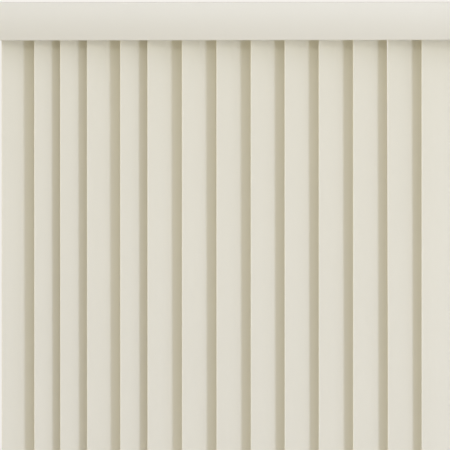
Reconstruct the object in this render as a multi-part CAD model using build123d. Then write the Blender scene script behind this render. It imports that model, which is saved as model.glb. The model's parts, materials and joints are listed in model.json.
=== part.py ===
from build123d import *
import math
import os

# A vertical blind of stiff plastic vanes under a moulded valance, worked by one wand.
# Millimetres. X runs along the headrail, -Y faces the room, +Z is up.
# The origin is on the wall, in the middle of the wall bracket screws.

# Vanes
vane_width = 89.0
vane_thickness = 0.8
vane_crown = 1.8
vane_corner_cut = 3.0
vane_tilt = 24.0
first_vane_x = -484.0
vane_gaps = [75.5, 60.5, 62.5, 77.5, 63.5, 80.5, 80.5, 80.0, 79.0, 79.5, 80.0, 81.0, 79.0]
vane_top_z = -22.0
vane_bottom_z = -1500.0
vane_hole_width = 10.0
vane_hole_height = 5.0
vane_hole_drop = 12.0

# Headrail, an aluminium channel whose lips are the track of the carriers
pivot_y = -65.0
rail_length = 1140.0
rail_width = 44.8
rail_height = 27.0
rail_wall = 1.4
rail_lip = 1.6
rail_slot = 16.0
rail_bead = 1.5
rail_bead_height = 2.0
rail_top_z = 14.8
track_rib = 1.0
track_rib_width = 1.2

# End caps
cap_plate = 2.5
cap_skirt = 1.0
cap_corner = 2.0
cap_rim_depth = 8.0
cap_rim_wall = 1.5
cap_fit = 0.2
cap_boss_radius = 4.8

# Carriers, their height measured from the top of the track
carrier_length = 12.0
carrier_width = 33.0
carrier_low = 1.5
carrier_top = 16.0
carrier_floor = 3.5
carrier_wall = 1.2
wheel_radius = 5.0
wheel_width = 3.3
wheel_clearance = 0.1
link_length = 86.0
link_slope = 0.0615
link_width = 6.0
link_thickness = 0.5
link_inset = 1.0
link_lift = 0.3
link_post = 2.0

# Tilt rod and the drives on it
rod_offset = 10.0
rod_height = 9.0
rod_radius = 3.0
rod_end_gap = 2.0
rod_grooves = 3
groove_width = 1.0
groove_depth = 0.7
worm_core_radius = 4.4
bore_radius = 3.15
pinion_teeth = 10
pinion_tip = 4.5
pinion_root = 3.3
pinion_top = 12.0
running_gap = 0.08
repeat_sides = 10

# Hangers
stem_radius = 2.5
stem_end = 0.3
shank_width = 3.8
shank_depth = 2.6
fork_width = 8.0
fork_plate = 0.9
fork_gap = 1.1
fork_length = 22.0
fork_bridge = 4.0
fork_lift = 1.0
nib_width = 6.0
nib_height = 3.0

# Wand and the carrier that it pulls
wand_gap = 54.5
wand_carrier_left = 44.0
wand_carrier_right = 8.5
gear_pocket = 7.2
pocket_web = 1.8
wand_wheel_inset = 6.0
gear_teeth = 8
gear_tip = 4.75
gear_root = 3.8
gear_length = 10.0
gear_tooth_width = 1.1
gear_tooth_sink = 0.4
gear_tooth_ends = 4.5
key_side_gap = 0.15
key_depth_gap = 0.2
key_sink = 0.15
collar_radius = 3.6
collar_sides = 8
hook_drop = 11.0
hook_pin_radius = 2.0
hook_ear = 2.3
hook_ear_gap = 0.2
hook_bridge_gap = 1.2
hook_roof = 3.0
eye_radius = 4.5
eye_flat = 2.5
eye_shoulder = 1.5
eye_thickness = 3.0
eye_neck = 1.0
wand_flats = 8.0
wand_length = 900.0
wand_neck_radius = 3.4
wand_neck_length = 14.0
wand_grip_flats = 12.0
wand_grip_length = 90.0
wand_tip = 5.0
wand_seat_gap = 0.1
socket_radius = 6.0
socket_fit = 0.05

# Valance
valance_height = 89.0
valance_top_z = 24.0
valance_front_y = pivot_y - 54.0
valance_bulge = 2.5
valance_wall = 1.2
valance_lip = 6.5
valance_hem = 2.5
valance_side_x = 580.0
valance_wall_gap = 1.0
mitre_gap = 0.05
corner_cover = 25.0
corner_gap = 0.2
corner_wall = 1.5

# Valance clips
valance_clip_x = [-455.0, 0.0, 455.0]
clip_fit = 0.3
clip_plate = 2.0
clip_foot = 1.3
clip_stand = 0.4
clip_rib_height = 14.0
clip_rib_reach = 10.0
clip_rib_width = 2.0

# Wall brackets and the spring clips under them
bracket_x = [-380.0, 380.0]
bracket_width = 30.0
bracket_thickness = 2.0
bracket_reach = 80.0
bracket_leg_bottom = -22.0
shelf_corner = 6.0
leg_corner = 4.0
gusset_height = 14.0
gusset_width = 3.0
slot_length = 10.0
slot_width = 5.0
slot_spacing = 20.0
clip_thickness = 1.2
clip_width = 20.0
jaw_drop = 1.8
jaw_reach = 1.4
jaw_height = 1.6
bolt_radius = 2.4
bolt_hole_radius = 2.5
bolt_head_radius = 4.0
bolt_head_height = 2.4

# Places worked out from the sizes above
rail_low_z = rail_top_z - rail_height
track_z = rail_low_z + rail_lip
rod_y = pivot_y + rod_offset
rod_z = track_z + rod_height
vane_x = [first_vane_x + sum(vane_gaps[:i]) for i in range(len(vane_gaps) + 1)]
wand_x = vane_x[-1] + wand_gap
hook_z = track_z - hook_drop
hook_bridge = -eye_radius - hook_bridge_gap
socket_low = hook_bridge - hook_roof - wand_neck_length
half_rail = rail_length / 2
inside_width = rail_width - 2 * rail_wall
jaw_line = rail_width / 2 + rail_bead + clip_fit
through = 5.0


def block(x0, x1, y0, y1, z0, z1):
    """A box between two corners."""
    size = Box(abs(x1 - x0), abs(y1 - y0), abs(z1 - z0))
    return Pos((x0 + x1) / 2, (y0 + y1) / 2, (z0 + z1) / 2) * size


def upright(radius, z0, z1):
    """A round bar along Z."""
    return Pos(0, 0, (z0 + z1) / 2) * Cylinder(radius, z1 - z0)


def along_x(radius, x0, x1, y=0.0, z=0.0):
    """A round bar along X."""
    return Pos((x0 + x1) / 2, y, z) * Rot(0, 90, 0) * Cylinder(radius, x1 - x0)


def many_sided(radius, length, sides=repeat_sides):
    """A many-sided bar along Z from zero, its flats at the radius: round pieces that repeat have this form."""
    return extrude(RegularPolygon(radius, sides, major_radius=False), length)


def prism_x(points, x0, x1):
    """A straight piece along X with an outline of (y, z) points."""
    outline = make_face(Polyline(*[(x0, y, z) for y, z in points], close=True))
    return extrude(outline, x1 - x0, (1, 0, 0))


def toothed(teeth, root, tip):
    """The outline of a small gear with straight flanks, pointed teeth and narrow valleys."""
    points = []
    pitch = 2 * math.pi / teeth
    for i in range(teeth):
        for radius, share in ((root, -0.5), (tip, 0.0)):
            angle = (i + share) * pitch
            points.append((radius * math.cos(angle), radius * math.sin(angle)))
    return make_face(Polyline(*points, close=True))


def headrail():
    """The channel: roof, two walls, two track lips with guide ribs, and a bead along each top edge."""
    half = rail_width / 2
    inner = inside_width / 2
    slot = rail_slot / 2
    rib = slot + track_rib_width
    low, high = rail_low_z, rail_top_z
    under = high - rail_wall
    side = [
        (0, high),
        (half + rail_bead, high),
        (half + rail_bead, high - rail_bead_height),
        (half, high - rail_bead_height),
        (half, low),
        (slot, low),
        (slot, track_z + track_rib),
        (rib, track_z + track_rib),
        (rib, track_z),
        (inner, track_z),
        (inner, under),
        (0, under),
    ]
    mirrored = [(-y, z) for y, z in reversed(side[1:-1])]
    outline = [(pivot_y + y, z) for y, z in side + mirrored]
    return prism_x(outline, -half_rail, half_rail)


def end_cap(side):
    """A moulded cap: a plate with cut corners, a thin rim that enters the rail and the rod's bearing."""
    plate_x = side * half_rail
    rim_x = side * (half_rail - cap_rim_depth)
    low_x, high_x = sorted((rim_x, plate_x))
    half = rail_width / 2 + rail_bead
    plate = block(plate_x, side * (half_rail + cap_plate), pivot_y - half, pivot_y + half,
                  rail_low_z - cap_skirt, rail_top_z)
    plate = chamfer(plate.edges().filter_by(Axis.X), cap_corner)
    inner = inside_width / 2 - cap_fit
    high = rail_top_z - rail_wall - cap_fit
    low = track_z + track_rib + cap_fit
    wall = cap_rim_wall
    rim = block(rim_x, plate_x, pivot_y - inner, pivot_y + inner, low, high)
    rim -= block(rim_x, plate_x, pivot_y - inner + wall, pivot_y + inner - wall, low + wall, high - wall)
    boss = Pos(low_x, rod_y, rod_z) * Rot(0, 90, 0) * many_sided(cap_boss_radius, cap_rim_depth)
    bearing = along_x(rod_radius + running_gap, low_x - 0.5, high_x + 0.5, rod_y, rod_z)
    return plate + rim + boss - bearing


def tilt_rod():
    """The grooved rod that turns every worm at once."""
    half = half_rail - rod_end_gap
    rod = along_x(rod_radius, -half, half)
    for i in range(rod_grooves):
        groove = block(-half - 1, half + 1, -groove_width / 2, groove_width / 2,
                       rod_radius - groove_depth, rod_radius + 1)
        rod -= Rot(360 * i / rod_grooves, 0, 0) * groove
    return Pos(0, rod_y, rod_z) * rod


def carrier_shell(left, right, pockets, wheel_places):
    """A housing open at the top, with its wheels. Its own zero is the stem's axis on the track."""
    half = carrier_width / 2
    shell = block(-left, right, -half, half, carrier_low, carrier_top)
    for x0, x1 in pockets:
        shell -= block(x0, x1, -half + carrier_wall, half - carrier_wall, carrier_floor, carrier_top)
    wheel = Rot(90, 0, 0) * many_sided(wheel_radius, wheel_width)
    for x in wheel_places:
        for edge in (-half, half + wheel_width):
            shell += Pos(x, edge, wheel_radius + wheel_clearance) * wheel
    return shell


def rod_line(left, right, radius):
    """A many-sided bar on the tilt rod's line, measured from a stem's axis on the track."""
    return Pos(left, rod_offset, rod_height) * Rot(0, 90, 0) * many_sided(radius, right - left)


def spacer_link(reach):
    """The strip that pulls the next carrier along. It climbs, so that the strips of a stack lie in layers."""
    low = carrier_top + link_lift
    y0 = -carrier_width / 2 + link_inset
    y1 = y0 + link_width
    rise = link_slope * reach
    strip = [(0, low), (-reach, low + rise), (-reach, low + rise + link_thickness), (0, low + link_thickness)]
    outline = make_face(Polyline(*[(x, y0, z) for x, z in strip], close=True))
    post = block(-link_post, 0.0, y0, y1, carrier_top - 1.0, low + link_thickness / 2)
    return extrude(outline, y1 - y0, (0, 1, 0)) + post


def carrier(linked):
    """One vane's carrier: housing, worm core on the rod's line, two wheels and the spacer link."""
    half = carrier_length / 2
    pocket = half - carrier_wall
    body = carrier_shell(half, half, [(-pocket, pocket)], [0.0])
    body += rod_line(-pocket, pocket, worm_core_radius)
    body -= rod_line(-half - 1, half + 1, bore_radius)
    body -= many_sided(stem_radius + running_gap, carrier_floor + 1)
    if linked:
        body += spacer_link(link_length)
    return body


def hanger():
    """The pinion and round journal above, a flat stem through the rail's slot, and the fork on the vane."""
    seat = carrier_floor + 0.05
    stem_low = carrier_low - stem_end
    shape = Pos(0, 0, seat) * extrude(toothed(pinion_teeth, pinion_root, pinion_tip), pinion_top - seat)
    shape += upright(stem_radius, stem_low, seat)
    head_z = vane_top_z - track_z
    bridge_low = head_z + fork_lift
    bridge_top = bridge_low + fork_bridge
    shape += block(-shank_width / 2, shank_width / 2, -shank_depth / 2, shank_depth / 2, bridge_top, stem_low)
    half = fork_width / 2
    gap = fork_gap / 2
    depth = gap + fork_plate
    shape += block(-half, half, -depth, depth, bridge_low, bridge_top)
    for side in (-1, 1):
        shape += block(-half, half, side * gap, side * depth, bridge_low - fork_length, bridge_low)
    nib_z = head_z - vane_hole_drop
    shape += block(-nib_width / 2, nib_width / 2, -gap, gap - 0.1, nib_z - nib_height / 2, nib_z + nib_height / 2)
    return shape


def vane():
    """One crowned vane along X, hollow side to the room, with cut corners and its hanging hole."""
    half = vane_width / 2
    radius = (half ** 2 + vane_crown ** 2) / (2 * vane_crown)
    spread = math.asin(half / radius)
    near = radius - vane_thickness / 2
    far = radius + vane_thickness / 2
    near_x, near_y = near * math.sin(spread), -radius + near * math.cos(spread)
    far_x, far_y = far * math.sin(spread), -radius + far * math.cos(spread)
    section = [
        ThreePointArc((-far_x, far_y), (0, vane_thickness / 2), (far_x, far_y)),
        Line((far_x, far_y), (near_x, near_y)),
        ThreePointArc((near_x, near_y), (0, -vane_thickness / 2), (-near_x, near_y)),
        Line((-near_x, near_y), (-far_x, far_y)),
    ]
    height = vane_top_z - vane_bottom_z
    strip = extrude(make_face(section), height)
    cut = vane_corner_cut
    corner = make_face(Polyline((far_x - cut, 0), (far_x + 1, 0), (far_x + 1, cut + 1), close=True))
    standing = Plane(origin=(0, 20, 0), x_dir=(1, 0, 0), z_dir=(0, -1, 0))
    right_cut = extrude(standing * corner, 40)
    corners = right_cut + mirror(right_cut, Plane.YZ)
    middle = vane_hole_width / 2
    edge = vane_hole_height / 2
    end = middle - edge / 2
    hole = [(-middle, 0), (-end, -edge), (end, -edge), (middle, 0), (end, edge), (-end, edge)]
    hole_face = make_face(Polyline(*hole, close=True))
    opening = extrude(standing * Pos(0, height - vane_hole_drop) * hole_face, 40)
    return Pos(0, 0, vane_bottom_z) * (strip - corners - opening)


def skew_gear():
    """A gear along Z whose straight teeth lie at 45 degrees across the flats of its core."""
    half = gear_length / 2
    gear = Pos(0, 0, -half) * many_sided(gear_root, gear_length, gear_teeth)
    depth = gear_tip - gear_root + gear_tooth_sink
    tooth = Rot(45, 0, 0) * Box(depth, gear_tooth_width, gear_length - gear_tooth_ends)
    tooth = Pos(gear_tip - depth / 2, 0, 0) * tooth
    for i in range(gear_teeth):
        gear += Rot(0, 0, 360 * i / gear_teeth) * tooth
    return gear & Pos(0, 0, -half) * many_sided(gear_tip, gear_length, 2 * gear_teeth)


def rod_gear():
    """The gear that slides along the rod with its keys in the grooves."""
    gear = skew_gear() - Pos(0, 0, -gear_length) * many_sided(bore_radius, 2 * gear_length)
    half_key = groove_width / 2 - key_side_gap
    for i in range(rod_grooves):
        key = block(-half_key, half_key, rod_radius - groove_depth + key_depth_gap,
                    bore_radius + key_sink, -gear_length / 2, gear_length / 2)
        gear += Rot(0, 0, 90 + 360 * i / rod_grooves) * key
    return Pos(wand_x, rod_y, rod_z) * Rot(0, 90, 0) * gear


def eye_plate(root_z, eye_z, x0, x1):
    """A plate across X that reaches from its root past the pin at eye_z, with cut corners."""
    way = 1 if eye_z > root_z else -1
    shoulder = eye_z + way * eye_shoulder
    end = eye_z + way * eye_radius
    outline = [(-eye_radius, root_z), (eye_radius, root_z), (eye_radius, shoulder), (eye_flat, end),
               (-eye_flat, end), (-eye_radius, shoulder)]
    return prism_x(outline, x0, x1)


def wand_spindle():
    """The gear on the wand's side, its shaft through the carrier's floor and the eye under the rail."""
    gear_low = rod_height - gear_length / 2
    seat = carrier_floor + 0.05
    neck = -hook_drop + eye_radius + eye_neck
    half = eye_thickness / 2
    shape = Pos(0, 0, rod_height) * skew_gear()
    shape += Pos(0, 0, seat) * many_sided(collar_radius, gear_low - seat + 0.5, collar_sides)
    shape += upright(stem_radius, neck - stem_end, seat)
    shape += eye_plate(neck, -hook_drop, -half, half)
    shape -= along_x(hook_pin_radius + running_gap, -half - 1, half + 1, 0, -hook_drop)
    return Pos(wand_x, pivot_y, track_z) * shape


def wand_hook():
    """The fork and socket at the wand's head, with the pin on which it swings to the room."""
    inner = eye_thickness / 2 + hook_ear_gap
    outer = inner + hook_ear
    shape = Pos(0, 0, socket_low) * many_sided(socket_radius, hook_bridge - socket_low)
    shape += eye_plate(hook_bridge - 0.5, 0, inner, outer)
    shape += eye_plate(hook_bridge - 0.5, 0, -outer, -inner)
    shape += along_x(hook_pin_radius, -outer + 1, outer - 1)
    shape -= Pos(0, 0, socket_low - 1) * many_sided(wand_neck_radius + socket_fit, wand_neck_length + 1, 6)
    return Pos(wand_x, pivot_y, hook_z) * shape


def hexagon(flats, z):
    """A six-sided face across the wand."""
    return (Pos(0, 0, z) * RegularPolygon(flats / 2, 6, major_radius=False)).face()


def wand():
    """The six-sided wand, thinner where it enters the hook and swelling to a grip at its foot."""
    foot = socket_low - wand_length
    seat = socket_low - wand_seat_gap
    shape = Pos(0, 0, seat) * many_sided(wand_neck_radius, wand_neck_length - wand_seat_gap, 6)
    shape += Pos(0, 0, foot) * many_sided(wand_flats / 2, seat - foot, 6)
    grip = hexagon(wand_grip_flats, foot)
    shape += loft([grip, hexagon(wand_flats - 0.2, foot + wand_grip_length)], ruled=True)
    shape += loft([hexagon(wand_flats, foot - wand_tip), grip], ruled=True)
    return Pos(wand_x, pivot_y, hook_z) * shape


def valance_section(grow, wall, hem):
    """The valance's C section as a face, (outward, height) from its front edge line and its top edge."""
    top = grow
    low = -valance_height - grow
    mid = -valance_height / 2
    back = grow - wall
    lip_end = -valance_lip
    face_line = ThreePointArc((grow, top), (grow + valance_bulge, mid), (grow, low))
    back_line = ThreePointArc((back, low + wall), (back + valance_bulge, mid), (back, top - wall))
    under = [(grow, low), (lip_end, low)]
    over = [(back, top - wall)]
    if hem:
        under += [(lip_end, low + hem), (lip_end + wall, low + hem)]
        over += [(lip_end + wall, top - wall), (lip_end + wall, top - hem), (lip_end, top - hem)]
        under.append((lip_end + wall, low + wall))
    else:
        under.append((lip_end, low + wall))
        over.append((lip_end, top - wall))
    under.append((back, low + wall))
    over += [(lip_end, top), (grow, top)]
    return make_face([face_line, Polyline(*under), back_line, Polyline(*over)])


def front_run(section, x0, x1):
    """The section run along X, its outside to the room."""
    plane = Plane(origin=(x0, valance_front_y, valance_top_z), x_dir=(0, -1, 0), z_dir=(-1, 0, 0))
    return extrude(plane * section, -(x1 - x0))


def side_run(section, side, y0, y1):
    """The section run along Y on the left (-1) or right (1), its outside away from the blind."""
    normal = Vector(0, -1, 0) if side > 0 else Vector(0, 1, 0)
    plane = Plane(origin=(side * valance_side_x, 0, valance_top_z), x_dir=(side, 0, 0), z_dir=normal)
    length = y1 - y0
    run = extrude(plane * section, length if side < 0 else -length)
    return Pos(0, y0, 0) * run


def mitre(side, front, gap):
    """The wedge to cut away where the front and a side meet at 45 degrees."""
    x = side * valance_side_x
    y = valance_front_y
    reach = 60.0
    shift = gap if front else -gap
    a = (x + side * reach - side * shift, y - reach)
    b = (x - side * reach - side * shift, y + reach)
    c = (x + side * reach - side * shift, y + reach) if front else (x - side * reach - side * shift, y - reach)
    face = make_face(Polyline((*a, 0), (*b, 0), (*c, 0), close=True))
    return Pos(0, 0, -valance_height - 20) * extrude(face, valance_height + 80, (0, 0, 1))


def valance_front():
    """The front panel, mitred at both ends."""
    section = valance_section(0, valance_wall, valance_hem)
    panel = front_run(section, -valance_side_x - 10, valance_side_x + 10)
    for side in (-1, 1):
        panel -= mitre(side, True, mitre_gap)
    return panel


def valance_return(side):
    """A side panel from the front corner back to the wall."""
    section = valance_section(0, valance_wall, valance_hem)
    panel = side_run(section, side, valance_front_y - 10, -valance_wall_gap)
    return panel - mitre(side, False, mitre_gap)


def valance_corner(side):
    """The moulded cover over a mitred corner."""
    section = valance_section(corner_gap + corner_wall, corner_wall, None)
    x_in = side * (valance_side_x - corner_cover)
    x_out = side * (valance_side_x + 10)
    front = front_run(section, min(x_in, x_out), max(x_in, x_out)) - mitre(side, True, 0)
    back = side_run(section, side, valance_front_y - 10, valance_front_y + corner_cover)
    return front + (back - mitre(side, False, 0))


def rail_grip(width, thickness):
    """A roof over the rail whose two jaws catch the beads, centred on x = 0."""
    half = width / 2
    low = rail_top_z - rail_bead_height - jaw_drop
    roof = block(-half, half, pivot_y - jaw_line - thickness, pivot_y + jaw_line + thickness,
                 rail_top_z, rail_top_z + thickness)
    for side in (-1, 1):
        line = pivot_y + side * jaw_line
        roof += block(-half, half, line, line + side * thickness, low, rail_top_z)
        roof += block(-half, half, line - side * jaw_reach, line, low, low + jaw_height)
    return roof


def valance_clip():
    """A clip that rides on the rail, reaches forward and spreads behind the valance."""
    half = clip_width / 2
    front = valance_front_y + valance_wall + clip_stand
    arm_end = pivot_y - rail_width / 2 - rail_bead
    plate_top = valance_top_z - valance_wall - clip_fit
    plate_low = valance_top_z - valance_height + valance_wall + clip_fit
    clip = rail_grip(clip_width, clip_plate)
    clip += block(-half, half, front, arm_end, rail_top_z, rail_top_z + clip_plate)
    clip += block(-half, half, front, front + clip_plate, plate_low, plate_top)
    for z in (plate_low, plate_top - clip_plate):
        clip += block(-half, half, front, front + clip_plate + clip_foot, z, z + clip_plate)
    root = front + clip_plate
    rib = [
        (root, rail_top_z),
        (root, rail_top_z - clip_rib_height),
        (root + clip_rib_reach, rail_top_z),
    ]
    return clip + prism_x(rib, -clip_rib_width / 2, clip_rib_width / 2)


def headrail_clip():
    """The spring clip that a bracket holds over the rail."""
    clip = rail_grip(clip_width, clip_thickness)
    return clip - Pos(0, pivot_y, rail_top_z - 1) * many_sided(bolt_hole_radius, through)


def wall_bracket():
    """A bent steel angle with two slots to the wall, a gusset and the clip's bolt hole."""
    low = rail_top_z + clip_thickness
    high = low + bracket_thickness
    half = bracket_width / 2
    shelf = block(-half, half, -bracket_reach, 0, low, high)
    shelf = chamfer(shelf.edges().filter_by(Axis.Z).sort_by(Axis.Y)[:2], shelf_corner)
    leg = block(-half, half, -bracket_thickness, 0, bracket_leg_bottom, high)
    leg = chamfer(leg.edges().filter_by(Axis.Y).sort_by(Axis.Z)[:2], leg_corner)
    back = -bracket_thickness
    gusset = [(back, low), (back, low - gusset_height), (back - gusset_height, low)]
    bracket = shelf + leg + prism_x(gusset, -gusset_width / 2, gusset_width / 2)
    wall = Plane(origin=(0, 1, 0), x_dir=(1, 0, 0), z_dir=(0, -1, 0))
    for z in (-slot_spacing / 2, slot_spacing / 2):
        bracket -= extrude(wall * Pos(0, z) * SlotOverall(slot_length, slot_width), through)
    return bracket - Pos(0, pivot_y, low - 1) * many_sided(bolt_hole_radius, through)


def clip_bolt():
    """The short six-sided bolt that joins a bracket to its clip."""
    low = rail_top_z + 0.1
    high = rail_top_z + clip_thickness + bracket_thickness
    shank = Pos(0, pivot_y, low) * many_sided(bolt_radius, high - low)
    return shank + Pos(0, pivot_y, high) * many_sided(bolt_head_radius, bolt_head_height, 6)


def wand_carrier():
    """The long carrier at the leading end, with four wheels and room for the wand's gears."""
    pockets = [(-gear_pocket, gear_pocket), (-wand_carrier_left + carrier_wall, -gear_pocket - pocket_web)]
    wheels = [-wand_carrier_left + wand_wheel_inset, wand_carrier_right - wand_wheel_inset]
    body = carrier_shell(wand_carrier_left, wand_carrier_right, pockets, wheels)
    body -= rod_line(-wand_carrier_left - 1, wand_carrier_right + 1, bore_radius)
    body -= many_sided(stem_radius + running_gap, carrier_floor + 1)
    body += Pos(-wand_carrier_left + wand_wheel_inset, 0, 0) * spacer_link(link_length - wand_carrier_left)
    return Pos(wand_x, pivot_y, track_z) * body


def save(name, shape):
    """Write one node."""
    shape.label = name
    export_step(shape, f"parts/{name}.step")


def group(shapes):
    """Like pieces that share a node."""
    return Compound(children=[part for shape in shapes for part in shape.solids()])


os.makedirs("parts", exist_ok=True)

save("headrail", headrail())
save("end_cap_left", end_cap(-1))
save("end_cap_right", end_cap(1))
save("wall_brackets", group([Pos(x, 0, 0) * wall_bracket() for x in bracket_x]))
save("headrail_clips", group([Pos(x, 0, 0) * headrail_clip() for x in bracket_x]))
save("clip_bolts", group([Pos(x, 0, 0) * clip_bolt() for x in bracket_x]))

save("valance_front", valance_front())
for name, side in (("left", -1), ("right", 1)):
    save(f"valance_return_{name}", valance_return(side))
    save(f"valance_corner_{name}", valance_corner(side))
save("valance_clips", group([Pos(x, 0, 0) * valance_clip() for x in valance_clip_x]))

save("tilt_rod", tilt_rod())
save("rod_gear", rod_gear())
save("wand_carrier", wand_carrier())
save("wand_spindle", wand_spindle())
save("wand_hook", wand_hook())
save("wand", wand())

one_vane = vane()
one_hanger = hanger()
for i, x in enumerate(vane_x):
    place = Pos(x, pivot_y, track_z)
    turn = Rot(0, 0, vane_tilt)
    save(f"carrier_{i + 1:02d}", place * carrier(i > 0))
    save(f"hanger_{i + 1:02d}", place * turn * one_hanger)
    save(f"vane_{i + 1:02d}", Pos(x, pivot_y, 0) * turn * one_vane)
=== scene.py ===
# %% [markdown]
# # A vertical blind: looks around a fixed frame
# The real blind is a row of stiff cream plastic vanes that hang from a white channel rail behind a moulded
# valance. The construction is already a set of exact solids, so this lesson only dresses them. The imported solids
# are loaded first and never moved. Every value below is in metres unless its name says otherwise.

import json
import math

import bmesh
import bpy
from mathutils import Matrix, Vector


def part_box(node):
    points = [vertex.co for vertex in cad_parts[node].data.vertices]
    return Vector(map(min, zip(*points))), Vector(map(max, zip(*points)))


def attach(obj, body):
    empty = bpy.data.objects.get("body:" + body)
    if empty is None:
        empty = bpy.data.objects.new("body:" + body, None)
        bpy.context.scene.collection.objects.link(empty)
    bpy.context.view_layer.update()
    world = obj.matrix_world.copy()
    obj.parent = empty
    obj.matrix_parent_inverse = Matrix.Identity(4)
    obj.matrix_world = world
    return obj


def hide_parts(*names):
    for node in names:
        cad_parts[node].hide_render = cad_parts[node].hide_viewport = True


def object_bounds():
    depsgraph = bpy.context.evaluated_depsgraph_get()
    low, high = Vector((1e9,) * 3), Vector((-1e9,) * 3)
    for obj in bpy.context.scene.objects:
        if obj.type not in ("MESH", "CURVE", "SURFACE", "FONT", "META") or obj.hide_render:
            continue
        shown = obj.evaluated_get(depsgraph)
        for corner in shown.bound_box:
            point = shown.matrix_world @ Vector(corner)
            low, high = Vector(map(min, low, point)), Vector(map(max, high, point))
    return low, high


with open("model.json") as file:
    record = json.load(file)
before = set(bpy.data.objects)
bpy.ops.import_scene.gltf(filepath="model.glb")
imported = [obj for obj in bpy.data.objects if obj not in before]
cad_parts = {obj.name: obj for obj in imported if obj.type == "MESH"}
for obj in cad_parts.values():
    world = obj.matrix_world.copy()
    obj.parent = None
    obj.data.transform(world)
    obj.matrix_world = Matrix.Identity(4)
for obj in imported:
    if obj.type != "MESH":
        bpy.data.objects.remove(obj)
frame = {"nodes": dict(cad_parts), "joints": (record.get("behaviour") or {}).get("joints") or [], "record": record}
cad_low, cad_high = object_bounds()
joints = {joint["name"]: joint for joint in frame["joints"]}
bodies = frame["record"]["behaviour"]["bodies"]
body_with = {node: body for body, nodes in bodies.items() for node in nodes}
slot_of = {part["node"]: part["material_slot"] for part in frame["record"]["subparts"]}
vane_names = sorted(name for name in frame["nodes"] if name.startswith("vane_"))
print("the frame is", [round(v, 4) for v in cad_high - cad_low], "m with", len(vane_names), "vanes")

# %% [markdown]
# ## Small helpers
# Blender's operators work on whatever is selected, and loading leaves the solids selected. So every step starts
# by clearing the selection, and then selects faces or edges in code, by where they are. A finished piece is left
# at the origin with its place in its mesh, like the solids themselves.

# %% Helpers for modelling by operator
MM = 0.001


def only(*pieces):
    """Selects these pieces alone and makes the first one active."""
    bpy.ops.object.select_all(action="DESELECT")
    for piece in pieces:
        piece.select_set(True)
    bpy.context.view_layer.objects.active = pieces[0]
    return pieces[0]


def edit(piece):
    only(piece)
    bpy.ops.object.mode_set(mode="EDIT")
    bpy.ops.mesh.select_all(action="DESELECT")


def done():
    bpy.ops.object.mode_set(mode="OBJECT")


def pick(piece, kind, test):
    """Selects the verts, edges or faces that pass a test, and says how many there are."""
    modes = {"verts": "VERT", "edges": "EDGE", "faces": "FACE"}
    bpy.ops.mesh.select_mode(type=modes[kind])
    bpy.ops.mesh.select_all(action="DESELECT")
    mesh = bmesh.from_edit_mesh(piece.data)
    chosen = [element for element in getattr(mesh, kind) if test(element)]
    for element in chosen:
        element.select_set(True)
    mesh.select_flush_mode()
    bmesh.update_edit_mesh(piece.data)
    return len(chosen)


def middle(element):
    """The middle of an edge or a face."""
    return sum((v.co for v in element.verts), Vector()) / len(element.verts)


def modifier(piece, kind, **values):
    """Adds one modifier, sets it and applies it."""
    only(piece)
    added = piece.modifiers.new(kind.lower(), kind)
    for key, value in values.items():
        setattr(added, key, value)
    bpy.ops.object.modifier_apply(modifier=added.name)


def settle(piece):
    """Puts the object's place, turn and scale into its mesh."""
    only(piece)
    bpy.ops.object.transform_apply(location=True, rotation=True, scale=True)


def smooth(piece, degrees=30):
    only(piece)
    bpy.ops.object.shade_smooth_by_angle(angle=math.radians(degrees), keep_sharp_edges=False)


def copy_of(piece, name, matrix):
    """A copy with its own mesh, moved within that mesh."""
    twin = piece.copy()
    twin.data = piece.data.copy()
    twin.name = twin.data.name = name
    twin.data.transform(matrix)
    bpy.context.scene.collection.objects.link(twin)
    return twin


def dress(piece, node):
    """Puts a finished piece in the place of a solid: its body, its slot, its finish and its name."""
    piece.name = piece.data.name = "dressed_" + node
    piece.data.materials.clear()
    piece.data.materials.append(finishes[slot_of[node]])
    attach(piece, body_with[node])
    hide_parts(node)
    return piece


# %% [markdown]
# ## Node helpers
# Every finish and the fill light are made of nodes. One call adds a node, sets it and joins its inputs, so that
# each recipe below stays short.

# %% Helpers for nodes
def add(tree, kind, inputs=(), **settings):
    """Adds a node. An input is a value, or a socket to join it to."""
    made = tree.nodes.new("ShaderNode" + kind)
    for key, value in settings.items():
        setattr(made, key, value)
    for key, value in dict(inputs).items():
        if isinstance(value, bpy.types.NodeSocket):
            tree.links.new(value, made.inputs[key])
        else:
            made.inputs[key].default_value = value
    return made


def effect(name, inputs, output):
    """A node group with named inputs, each with its default, and one named output."""
    tree = bpy.data.node_groups.new(name, "ShaderNodeTree")
    kinds = {"Vector": "NodeSocketVector", "Color": "NodeSocketColor"}
    for key, value in inputs.items():
        socket = tree.interface.new_socket(name=key, in_out="INPUT", socket_type=kinds.get(key, "NodeSocketFloat"))
        if value is not None:
            socket.default_value = value
    tree.interface.new_socket(name=output, in_out="OUTPUT", socket_type=kinds.get(output, "NodeSocketFloat"))
    return tree, tree.nodes.new("NodeGroupInput").outputs, tree.nodes.new("NodeGroupOutput").inputs[output]


def use(tree, group, inputs):
    """Places a node group in a material."""
    made = tree.nodes.new("ShaderNodeGroup")
    made.node_tree = group
    for key, value in inputs.items():
        if isinstance(value, bpy.types.NodeSocket):
            tree.links.new(value, made.inputs[key])
        else:
            made.inputs[key].default_value = value
    return made.outputs[0]


# %% [markdown]
# ## The camera
# The photograph looks straight at the blind, level, and its vanes stay upright and show equal strips of shadow
# from left to right. So it was taken with a long lens: the camera stands fourteen metres in front and frames 1.05 m
# of the vanes' front edges. It isn't shifted, because its height alone puts the valance near the top.

# %% Place the camera
SENSOR = 0.036
PICTURE_WIDTH = 1.0494
CAMERA_DISTANCE = 14.0
CAMERA_X = -0.0032
CAMERA_Z = -0.4949
CAMERA_ROLL = 0.07

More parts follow.
